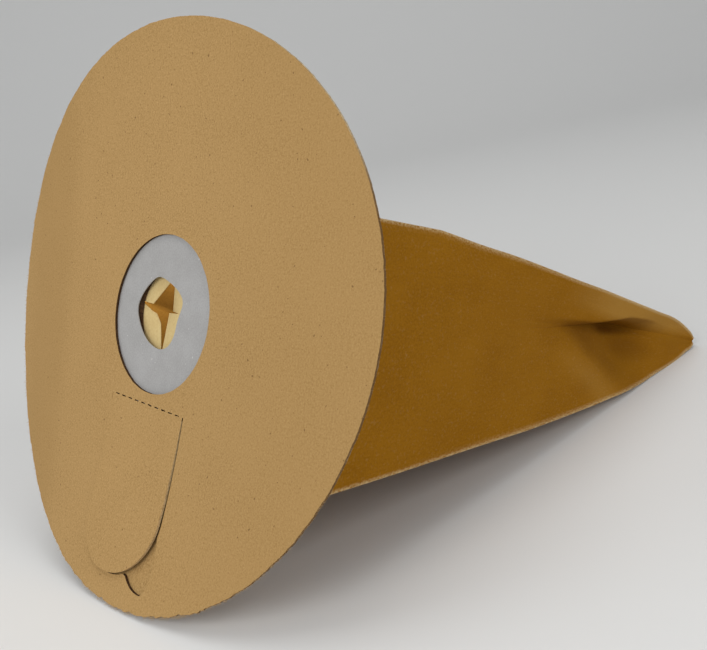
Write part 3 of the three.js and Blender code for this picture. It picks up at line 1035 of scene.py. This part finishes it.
def section_loop(at):
    """Points round one cross-section, and how far each lies from a folded edge."""
    upper, lower, crease, fold, over, tuck = section(at)
    far = [crease, fold, over, tuck]
    if at < FAR_SIDE[-1, 0]:
        far[0] = np.interp(at, FAR_SIDE[:, 0], FAR_SIDE[:, 1])
        far[1] = np.interp(at, FAR_SIDE[:, 0], FAR_SIDE[:, 2])
        blend = min(1, at / FAR_RISE) * min(1, (FAR_SIDE[-1, 0] - at) / FAR_FALL)
        far[2] += (FAR_LIP - over) * blend
        far[3] -= tuck * blend
    corners = np.array(
        [
            (-BAG_HALF, upper),
            (-BAG_HALF + tuck, over),
            (-BAG_HALF + fold, crease),
            (-BAG_HALF, lower),
            (BAG_HALF, lower),
            (BAG_HALF - far[1], far[0]),
            (BAG_HALF - far[3], far[2]),
            (BAG_HALF, upper),
        ]
    )
    rows, edge = [], []
    for i, count in enumerate(STEPS):
        a, b = corners[i], corners[(i + 1) % len(corners)]
        share = np.arange(count)[:, None] / count
        long = np.hypot(*(b - a))
        rows.append(a + (b - a) * share)
        from_a = share[:, 0] * long if i in FOLD_FIRST else np.full(count, NO_FOLD)
        from_b = (1 - share[:, 0]) * long if i in FOLD_LAST else np.full(count, NO_FOLD)
        edge.append(np.minimum(from_a, from_b))
    flat = soften(np.concatenate(rows))
    arch = SEAM_ARCH * at**3
    rise = np.minimum(arch, arch * (1 - np.abs(flat[:, 0]) / BAG_HALF) * 2)
    follow = max(0, 1 - BAG_LENGTH * at / FOLLOW) ** 2
    depth = BAG_FRONT + BAG_LENGTH * at - follow * curl(flat[:, 0], flat[:, 1])
    points = np.c_[depth, flat[:, 0] + creases(at, flat), flat[:, 1] + rise]
    return points, np.concatenate(edge)


print("A section has", len(section_loop(0)[0]), "points")

# %% [markdown]
# ## The bag's skin
#
# The bottom is a rectangle with a round hole, glued on the card. Its loops grow from the
# hole's circle to the first section, and the sections follow on. Joined by faces they are
# one sheet of paper without thickness, which is easier to pucker than a wall with two sides.

# %% The bag's skin
BAG_HOLE_RADIUS = 30
# The bottom's width in the pattern, how many loops it has, and its distance from a worn fold.
BOTTOM_WIDTH, BOTTOM_LOOPS, BOTTOM_NEAR = 70, 14, 20.0
# The end has more folds, so its sections lie closer.
BODY_SHARES = np.linspace(0, 0.9, 100, endpoint=False)
END_SHARES = np.linspace(0.9, 1, 32)


def bag_skin():
    """The bag as one sheet of paper without thickness, from its round hole to its end."""
    edge = section_loop(0)[0]
    angle = np.arctan2(edge[:, 2], edge[:, 1])
    rows, nears, lengths = [], [], []
    for share in np.linspace(0, 1, BOTTOM_LOOPS, endpoint=False):
        radius = BAG_HOLE_RADIUS + (np.hypot(edge[:, 1], edge[:, 2]) - BAG_HOLE_RADIUS) * share
        y, z = radius * np.cos(angle), radius * np.sin(angle)
        rows.append(np.c_[BAG_FRONT - curl(y, z), y, z])
        nears.append(np.full(len(y), BOTTOM_NEAR))
        lengths.append(-BOTTOM_WIDTH * (1 - share))
    for at in np.concatenate([BODY_SHARES, END_SHARES]):
        points, near = section_loop(at)
        rows.append(points)
        nears.append(near)
        lengths.append(at * BAG_LENGTH)
    size = len(edge)
    round_it = np.concatenate([[0], np.cumsum(np.hypot(*np.diff(edge[:, 1:], axis=0).T))])
    sheet = np.stack([np.c_[np.full(size, length), round_it, np.zeros(size)] for length in lengths])
    index = np.arange(len(rows) * size).reshape(len(rows), size)
    a, b = index[:-1], np.roll(index[:-1], -1, axis=1)
    c, d = np.roll(index[1:], -1, axis=1), index[1:]
    faces = np.stack([a, b, c, d], axis=-1).reshape(-1, 4)
    return np.concatenate(rows), faces.tolist(), sheet.reshape(-1, 3), np.concatenate(nears)


points, faces, sheet, near = bag_skin()
print("The bag's skin has", len(points), "points")

# %% [markdown]
# ## Puckers
#
# Thin paper never lies quite flat. A bump could shade it so, but its folded edges would stay
# ruler-straight. A Geometry Nodes rule moves each point of the skin along its normal by a
# cloudy noise: broad waves and small puckers. The wave attribute keeps the glued bottom
# still and the folded edges nearly so.

# %% Puckers
def pucker_rule():
    rule = Rule("paper puckers", Wave=0.8, Wave_Size=14.0, Pucker=0.12, Pucker_Size=90.0)
    place = rule.node("GeometryNodeInputPosition", "Position", {})
    normal = rule.node("GeometryNodeInputNormal", "Normal", {})

    def cloud(size, detail):
        inputs = {"Vector": place, "Scale": rule.given(size), "Detail": detail}
        return rule.node("ShaderNodeTexNoise", "Fac", inputs) - 0.5

    waves = cloud("Wave_Size", 1.0) * rule.given("Wave")
    height = waves + cloud("Pucker_Size", 2.0) * rule.given("Pucker")
    free = rule.node("GeometryNodeInputNamedAttribute", "Attribute", {"Name": "wave"}, data_type="FLOAT")
    shift = {"Vector": normal, "Scale": height * free * MM}
    move = rule.node("ShaderNodeVectorMath", "Vector", shift, operation="SCALE")
    moved = {"Geometry": rule.given("Mesh"), "Offset": move}
    rule.finish(rule.node("GeometryNodeSetPosition", "Geometry", moved))
    return rule


puckers = pucker_rule()
print("The pucker rule has", len(puckers.tree.nodes), "nodes")

# %% [markdown]
# ## Wear, painted light and painted shade on the bag
#
# The folds are rubbed pale, the paper near the end has a painted highlight on its lip and on
# a ridge, and the crease's pocket has painted shade. Each mark is worked out for every point
# from its place along the bag and its height, and kept as an attribute that the material
# reads.

# %% Wear, painted light and painted shade on the bag
def spot(along, up, middle, size):
    """A soft oval: 1 in its middle, and 0 far outside it."""
    return np.exp(-(((along - middle[0]) / size[0]) ** 2) - ((up - middle[1]) / size[1]) ** 2)


def bag_marks(points, sheet, near):
    """Where the paper is rubbed pale, has a painted highlight, is free to pucker, or has painted shade."""
    along, across, up = sheet[:, 0], points[:, 1], points[:, 2]
    # Painted shade in the pocket: a dark core, a soft patch below it and more towards the end.
    # The patch starts at a slanted line, and beyond says how far past that line a point lies.
    core = spot(along, up, (274, 15), (20, 4))
    beyond = (along - 206 + (up - 14) * 1.38) / 1.7
    patch = np.clip(beyond / 12, 0, 1) * np.exp(-np.maximum(beyond, 0) / 34)
    patch *= np.exp(-np.abs(up - 12) / 24) * np.clip((17 - up) / 5, 0, 1)
    shade = spot(along, up, (282, 5), (18, 10))
    deep = np.maximum(0.75 * core, np.maximum(0.5 * patch, 0.42 * shade))
    # Painted highlight on the lip above the pocket, on the near side only, and on the ridge
    # beside the patch.
    rise = 15 + 10 * np.clip((270 - along) / 70, 0, 1)
    lip = np.clip((along - 200) / 50, 0, 1) * np.clip((up - rise) / 6, 0, 1)
    lip *= np.clip((-across - 85) / 8, 0, 1)
    ridge = np.exp(-(((beyond + 8) / 9) ** 2)) * np.clip((2 - up) / 14, 0, 1)
    ridge *= across < -60
    return {
        "worn": np.clip(1.25 - near / 1.6, 0, 1) * 0.9,
        "light": np.maximum(0.3 * lip, 0.13 * ridge),
        "wave": np.clip(near / 12, 0.1, 1) * np.clip((along - 5) / 60, 0, 1),
        "deep": deep * (across < 0),
    }


marks = bag_marks(points, sheet, near)
print("Marks on the bag:", ", ".join(marks))

# %% [markdown]
# ## The paper bag
#
# The skin gets its puckers first and its thickness after, so that both sides of the paper
# move together. Solidify gives the inside a material of its own, because the lining is paler
# and is seen through the slit.

# %% The paper bag
PAPER = 0.4


def shape_paper(piece):
    piece.data.materials.append(lining)
    puckers.use(piece, Wave=2.0, Wave_Size=16.0, Pucker=0.3, Pucker_Size=110.0, Material=kraft)
    solid = piece.modifiers.new("paper", "SOLIDIFY")
    solid.thickness = PAPER * MM
    solid.offset = -1
    solid.material_offset = 1


finish = {"sharp": 30, "marks": marks, "shape": shape_paper}
add_piece("shown_paper_bag", points, faces, sheet, kraft, "brown_kraft_paper", "paper_bag", **finish)

# %% [markdown]
# ## Loose fibres
#
# A blunt knife leaves torn fibres on card, and a folded paper edge frays. Hair could do it,
# but the export wants real faces. This rule turns a line into a curve, spreads thin cones
# along it and leans each one outwards at random. The fray attribute says how long the fibres
# are at each point of the line.

# %% The rule for loose fibres
def fibre_rule():
    rule = Rule("loose fibres", Spacing=0.001, Length=0.0012, Width=0.00008, Spread=0.8)
    curve = rule.node("GeometryNodeMeshToCurve", "Curve", {"Mesh": rule.given("Mesh")})
    spread = {"Curve": curve, "Length": rule.given("Spacing")}
    dots = rule.node("GeometryNodeCurveToPoints", "Points", spread, mode="LENGTH")
    cone = {"Vertices": 4, "Radius Bottom": rule.given("Width"), "Radius Top": rule.given("Width") * 0.3}
    cone["Depth"] = rule.given("Length")
    fibre = rule.node("GeometryNodeMeshCone", "Mesh", cone)
    out = rule.node("GeometryNodeInputNamedAttribute", "Attribute", {"Name": "out"}, data_type="FLOAT_VECTOR")
    chance = {"Min": (-1, -1, -1), "Max": (1, 1, 1), "Seed": 3}
    any_way = rule.node("FunctionNodeRandomValue", "Value", chance, data_type="FLOAT_VECTOR")
    lean = {"Vector": any_way, "Scale": rule.given("Spread")}
    lean = rule.node("ShaderNodeVectorMath", "Vector", lean, operation="SCALE")
    turn = {"Vector": rule.vector("ADD", out, lean)}
    turn = rule.node("FunctionNodeAlignRotationToVector", "Rotation", turn, axis="Z")
    fray = rule.node("GeometryNodeInputNamedAttribute", "Attribute", {"Name": "fray"}, data_type="FLOAT")
    long = {"Min_001": 0.3, "Max_001": 1.0, "Seed": 8}
    long = rule.node("FunctionNodeRandomValue", "Value_001", long, data_type="FLOAT") * fray
    size = rule.node("ShaderNodeCombineXYZ", "Vector", {"X": 1.0, "Y": 1.0, "Z": long})
    put = {"Points": dots, "Instance": fibre, "Rotation": turn, "Scale": size}
    rule.finish(rule.node("GeometryNodeInstanceOnPoints", "Instances", put))
    return rule


loose = fibre_rule()
print("The fibre rule has", len(loose.tree.nodes), "nodes")

# %% [markdown]
# ## Fibres on the rims and the folds
#
# Three lines run round the disc, on the front, middle and back edges of the cards, and two
# along the near folds of the bag. The fibres of the disc are longest where its rim is torn.

# %% Fibres on the rims
def add_fibres(name, points, out, fray, slot, material, **numbers):
    """Fibres along a line of points, each point with its outward direction."""
    mesh_edges = [(i, i + 1) for i in range(len(points) - 1)]
    mesh = bpy.data.meshes.new(name)
    mesh.from_pydata([tuple(PLACE @ Vector(p)) for p in points], mesh_edges, [])
    mesh.attributes.new("out", "FLOAT_VECTOR", "POINT")
    turned_out = np.array([tuple((PLACE.to_3x3() @ Vector(d)).normalized()) for d in out], np.float32)
    mesh.attributes["out"].data.foreach_set("vector", turned_out.ravel())
    mesh.attributes.new("fray", "FLOAT", "POINT")
    mesh.attributes["fray"].data.foreach_set("value", np.asarray(fray, np.float32))
    piece = bpy.data.objects.new(name, mesh)
    bpy.context.scene.collection.objects.link(piece)
    loose.use(piece, Material=material, **numbers)
    bake(piece)
    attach(piece, "root")
    print(name, "has", len(piece.data.polygons), "faces")


# Each line: its name, its depth behind the disc's face and how far its blank is cut back.
RIM_LINES = (
    ("front_rim_fibres", 0.2, 0),
    ("middle_rim_fibres", 1.1, 0),
    ("back_rim_fibres", 2.6, BACK_TRIM),
)
for name, depth, less in RIM_LINES:
    rim = trim(circle(DISC_RADIUS - 0.2, 1.0), less)
    rim = np.concatenate([rim, rim[:1]])
    places = np.c_[depth - curl(rim[:, 0], rim[:, 1]), rim]
    out = np.c_[np.zeros(len(rim)), rim / DISC_RADIUS]
    torn = np.maximum(np.clip(out[:, 1], 0, 1), np.clip(-out[:, 2], 0, 1)) ** 2
    add_fibres(name, places, out, 0.25 + 0.75 * torn, "kraft_card", fluff, Spacing=0.0006, Length=0.0022)

# %% Fibres on the folds
FOLD_LINES = (("upper_fold_fibres", 0, 1), ("lower_fold_fibres", sum(STEPS[:3]), -1))
FOLD_FRAY = 0.6
shares = np.linspace(0.02, 0.985, 300)
for name, corner, tilt in FOLD_LINES:
    line = np.array([section_loop(share)[0][corner] for share in shares])
    out = np.tile((0, -0.6, 0.8 * tilt), (len(line), 1))
    fray = np.full(len(line), FOLD_FRAY)
    add_fibres(name, line, out, fray, "brown_kraft_paper", fluff, Spacing=0.0012, Length=0.0013)

# %% [markdown]
# ## The floor
#
# A studio floor that bends up into a wall has no edge behind the bag. It is one strip of
# faces along the camera's view, and smooth shading hides its steps.

# %% The floor
def stage_sheet():
    """A floor that curves up into a back wall, square to the camera's view."""
    forward = Vector((0.676, 0.737, 0)).normalized()
    side = Vector((forward.y, -forward.x, 0))
    # Where the floor begins and where it bends, the bend's radius, the wall's top, half the width.
    near, far, bend, top, half = -4, 1.2, 1.0, 5, 5
    profile = [(near, 0), (far, 0)]
    for step in range(1, 13):
        angle = math.radians(step * 7.5)
        profile.append((far + bend * math.sin(angle), bend * (1 - math.cos(angle))))
    profile.append((far + bend, top))
    points, faces = [], []
    for along, up in profile:
        for across in (-half, half):
            points.append(tuple(forward * along + side * across + Vector((0, 0, up))))
    for i in range(len(profile) - 1):
        faces.append((2 * i, 2 * i + 1, 2 * i + 3, 2 * i + 2))
    mesh = bpy.data.meshes.new("floor")
    mesh.from_pydata(points, [], faces)
    mesh.shade_smooth()
    floor = bpy.data.objects.new("floor", mesh)
    bpy.context.scene.collection.objects.link(floor)
    paint = Paint("pale floor")
    mesh.materials.append(paint.finish(Base_Color=colour(222, 221, 218), Roughness=0.9))
    print("The floor has", len(faces), "faces")


stage_sheet()

# %% [markdown]
# ## Light
#
# Four large soft lamps stand round the bag: the main one before the disc, one at each side
# and one above. Daylight would also come through the thin paper into the bag. Light that
# passes through a wall takes many samples, so a small lamp inside the bag stands for it.

# %% Light
def lamp(name, place, target, size, power, tint=(1, 1, 1)):
    data = bpy.data.lights.new(name, "AREA")
    data.size = size
    data.energy = power
    data.color = tint
    thing = bpy.data.objects.new(name, data)
    thing.location = place
    thing.rotation_euler = (Vector(target) - Vector(place)).to_track_quat("-Z", "Y").to_euler()
    bpy.context.scene.collection.objects.link(thing)


# Each lamp: its place, what it points at, its size in metres and its power in watts.
lamp("key", (-1.45, -0.4, 1.0), (-0.05, 0, 0.1), 0.8, 10.1)
lamp("left fill", (-1.6, 0.9, 0.8), (-0.05, 0, 0.1), 1.2, 5.5)
lamp("right fill", (-0.1, -1.8, 0.9), (0.1, 0, 0.1), 1.0, 13)
lamp("top", (-0.1, 0.1, 1.9), (0.0, 0, 0.1), 1.4, 11)
inside_bag, far_side = PLACE @ Vector((66, 78, 43)), PLACE @ Vector((74, 100, -20))
lamp("light through the paper", inside_bag, far_side, 0.03, 0.058, (1.0, 0.92, 0.8))
world = bpy.data.worlds.new("soft light")
world.use_nodes = True
world.node_tree.nodes["Background"].inputs["Color"].default_value = (0.9, 0.94, 1, 1)
world.node_tree.nodes["Background"].inputs["Strength"].default_value = 0.35
bpy.context.scene.world = world
bpy.context.scene.view_settings.view_transform = "Standard"
print("Lamps:", ", ".join(light.name for light in bpy.data.lights))

# %% [markdown]
# ## Camera
#
# The camera stands before the disc and well round to its right, so that both the disc and
# the near gusset are seen. Its place and its three directions were fitted to the disc's
# outline in the upright drawing, so they are leaned back with the bag.

# %% Camera
camera_data = bpy.data.cameras.new("camera")
camera_data.lens = 55.75
camera_data.sensor_width = 36
camera = bpy.data.objects.new("camera", camera_data)
# The camera's own directions in the upright drawing.
right = Vector((0.70499, -0.70367, 0.08854))
upward = Vector((-0.0657, 0.0595, 0.99606))
forward = Vector((0.70617, 0.70803, 0.00428))
facing = Matrix((right, upward, -forward)).transposed().to_4x4()
stand = Matrix.Translation(PLACE @ Vector((-312.8, -448.53, 0.77)))
camera.matrix_world = stand @ Matrix.Rotation(LEAN, 4, "Y") @ facing
bpy.context.scene.collection.objects.link(camera)
bpy.context.scene.camera = camera
print("Camera at", tuple(round(v, 3) for v in camera.location))
